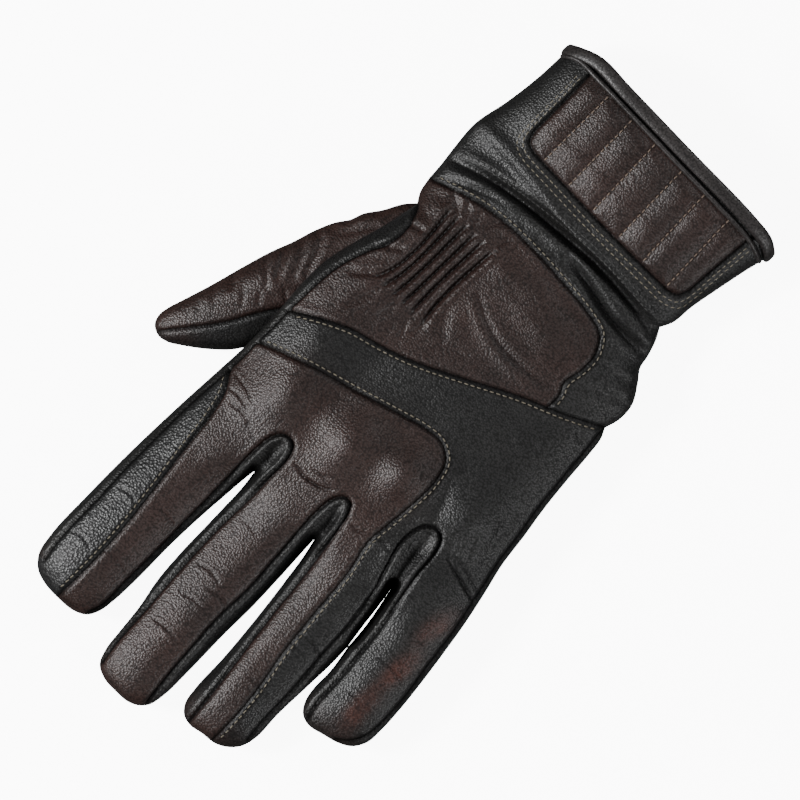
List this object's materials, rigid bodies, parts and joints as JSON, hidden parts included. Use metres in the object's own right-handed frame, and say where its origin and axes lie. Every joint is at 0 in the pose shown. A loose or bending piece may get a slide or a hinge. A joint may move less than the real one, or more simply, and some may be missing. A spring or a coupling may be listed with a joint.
{
  "type": "motorcycle riding glove",
  "caption": "Left-hand short-cuff leather riding glove with jointed fingers, two-tone back panels, quilted cuff, elastic wrist and a hook-and-loop closure tab.",
  "frame": {"origin": "centre of the flat underside of the palm patch", "axes": "+Y towards the fingertips, +X towards the thumb, +Z out of the back of the hand"},
  "size_m": [0.1588, 0.2743, 0.0372],
  "materials": {
    "leather_brown": "semi-gloss grained",
    "leather_black": "semi-gloss grained",
    "binding": "smooth",
    "protector": "matte",
    "lining": "fleece",
    "elastic": "woven",
    "hook_loop": "brushed"
  },
  "bodies": {
    "hand": {"hand_back_band": "leather_black", "hand_lining": "lining", "knuckle_panel": "leather_brown", "knuckle_protector": "protector", "palm_panel": "leather_black", "palm_patch": "leather_brown", "thumb_gusset": "leather_brown", "web_middle_index": "leather_black", "web_ring_middle": "leather_black", "web_little_ring": "leather_black", "wrist_elastic": "elastic", "wrist_gather": "leather_black", "wrist_panel": "leather_brown"},
    "cuff": {"cuff_back": "leather_black", "cuff_palm": "leather_black", "cuff_lining": "lining", "cuff_binding": "binding", "cuff_loop_pad": "hook_loop", "quilted_panel": "leather_brown"},
    "closure": {"closure_tab": "leather_black", "closure_hook_pad": "hook_loop"},
    "index_base": {"index_base_fourchette": "leather_black", "index_base_inner_back": "leather_brown", "index_base_outer_back": "leather_black", "index_base_palm": "leather_black"},
    "index_middle": {"index_middle_fourchette": "leather_black", "index_middle_inner_back": "leather_brown", "index_middle_outer_back": "leather_black", "index_middle_palm": "leather_black"},
    "index_tip": {"index_fingertip": "leather_black"},
    "middle_base": {"middle_base_back": "leather_brown", "middle_base_fourchette_little_side": "leather_black", "middle_base_fourchette_thumb_side": "leather_black", "middle_base_palm": "leather_black"},
    "middle_middle": {"middle_middle_back": "leather_brown", "middle_middle_fourchette_little_side": "leather_black", "middle_middle_fourchette_thumb_side": "leather_black", "middle_middle_palm": "leather_black"},
    "middle_tip": {"middle_fingertip": "leather_brown"},
    "ring_base": {"ring_base_fourchette_little_side": "leather_black", "ring_base_fourchette_thumb_side": "leather_black", "ring_base_inner_back": "leather_brown", "ring_base_outer_back": "leather_black", "ring_base_palm": "leather_black"},
    "ring_middle": {"ring_middle_fourchette_little_side": "leather_black", "ring_middle_fourchette_thumb_side": "leather_black", "ring_middle_inner_back": "leather_brown", "ring_middle_outer_back": "leather_black", "ring_middle_palm": "leather_black"},
    "ring_tip": {"ring_fingertip": "leather_black"},
    "little_base": {"little_base_back": "leather_black", "little_base_fourchette": "leather_black", "little_base_palm": "leather_black"},
    "little_middle": {"little_middle_back": "leather_black", "little_middle_fourchette": "leather_black", "little_middle_palm": "leather_black"},
    "little_tip": {"little_fingertip": "leather_black"},
    "thumb_base": {"thumb_back": "leather_brown", "thumb_palm": "leather_black"},
    "thumb_tip": {"thumb_tip": "leather_brown"}
  },
  "joints": [
    {"name": "wrist_bend", "type": "hinge", "parent": "hand", "child": "cuff", "pos_m": [0.0107, -0.075, 0.013], "axis": [1, 0, 0], "range_deg": [-30, 30]},
    {"name": "closure_tab_bend", "type": "hinge", "parent": "cuff", "child": "closure", "pos_m": [-0.022, -0.1, 0.0016], "axis": [0, 1, 0], "range_deg": [0, 150]},
    {"name": "index_base_bend", "type": "hinge", "parent": "hand", "child": "index_base", "pos_m": [0.04549, 0.064, 0.0105], "axis": [-1, 0, 0], "range_deg": [0, 60]},
    {"name": "index_middle_bend", "type": "hinge", "parent": "index_base", "child": "index_middle", "pos_m": [0.04526, 0.093, 0.0105], "axis": [-1, 0, 0], "range_deg": [0, 75]},
    {"name": "index_tip_bend", "type": "hinge", "parent": "index_middle", "child": "index_tip", "pos_m": [0.0448, 0.116, 0.0105], "axis": [-1, 0, 0], "range_deg": [0, 45]},
    {"name": "middle_base_bend", "type": "hinge", "parent": "hand", "child": "middle_base", "pos_m": [0.01006, 0.066, 0.0105], "axis": [-1, 0, 0], "range_deg": [0, 60]},
    {"name": "middle_middle_bend", "type": "hinge", "parent": "middle_base", "child": "middle_middle", "pos_m": [0.00878, 0.099, 0.0105], "axis": [-1, 0, 0], "range_deg": [0, 75]},
    {"name": "middle_tip_bend", "type": "hinge", "parent": "middle_middle", "child": "middle_tip", "pos_m": [0.00701, 0.122, 0.0105], "axis": [-1, 0, 0], "range_deg": [0, 45]},
    {"name": "ring_base_bend", "type": "hinge", "parent": "hand", "child": "ring_base", "pos_m": [-0.0216, 0.064, 0.0105], "axis": [-1, 0, 0], "range_deg": [0, 60]},
    {"name": "ring_middle_bend", "type": "hinge", "parent": "ring_base", "child": "ring_middle", "pos_m": [-0.02522, 0.089, 0.0105], "axis": [-1, 0, 0], "range_deg": [0, 75]},
    {"name": "ring_tip_bend", "type": "hinge", "parent": "ring_middle", "child": "ring_tip", "pos_m": [-0.0263, 0.112, 0.0105], "axis": [-1, 0, 0], "range_deg": [0, 45]},
    {"name": "little_base_bend", "type": "hinge", "parent": "hand", "child": "little_base", "pos_m": [-0.05117, 0.057, 0.0105], "axis": [-1, 0, 0], "range_deg": [0, 60]},
    {"name": "little_middle_bend", "type": "hinge", "parent": "little_base", "child": "little_middle", "pos_m": [-0.054, 0.075, 0.0105], "axis": [-1, 0, 0], "range_deg": [0, 75]},
    {"name": "little_tip_bend", "type": "hinge", "parent": "little_middle", "child": "little_tip", "pos_m": [-0.05554, 0.091, 0.0105], "axis": [-1, 0, 0], "range_deg": [0, 45]},
    {"name": "thumb_base_bend", "type": "hinge", "parent": "hand", "child": "thumb_base", "pos_m": [0.06932, 0.00364, 0.00879], "axis": [-0.9336, 0.3584, 0], "range_deg": [0, 35]},
    {"name": "thumb_tip_bend", "type": "hinge", "parent": "thumb_base", "child": "thumb_tip", "pos_m": [0.07307, 0.02791, 0.00879], "axis": [-0.9336, 0.3584, 0], "range_deg": [0, 50]}
  ],
  "couplings": [
    {"joint": "index_tip_bend", "follows": "index_middle_bend", "ratio": 0.6},
    {"joint": "middle_tip_bend", "follows": "middle_middle_bend", "ratio": 0.6},
    {"joint": "ring_tip_bend", "follows": "ring_middle_bend", "ratio": 0.6},
    {"joint": "little_tip_bend", "follows": "little_middle_bend", "ratio": 0.6}
  ]
}
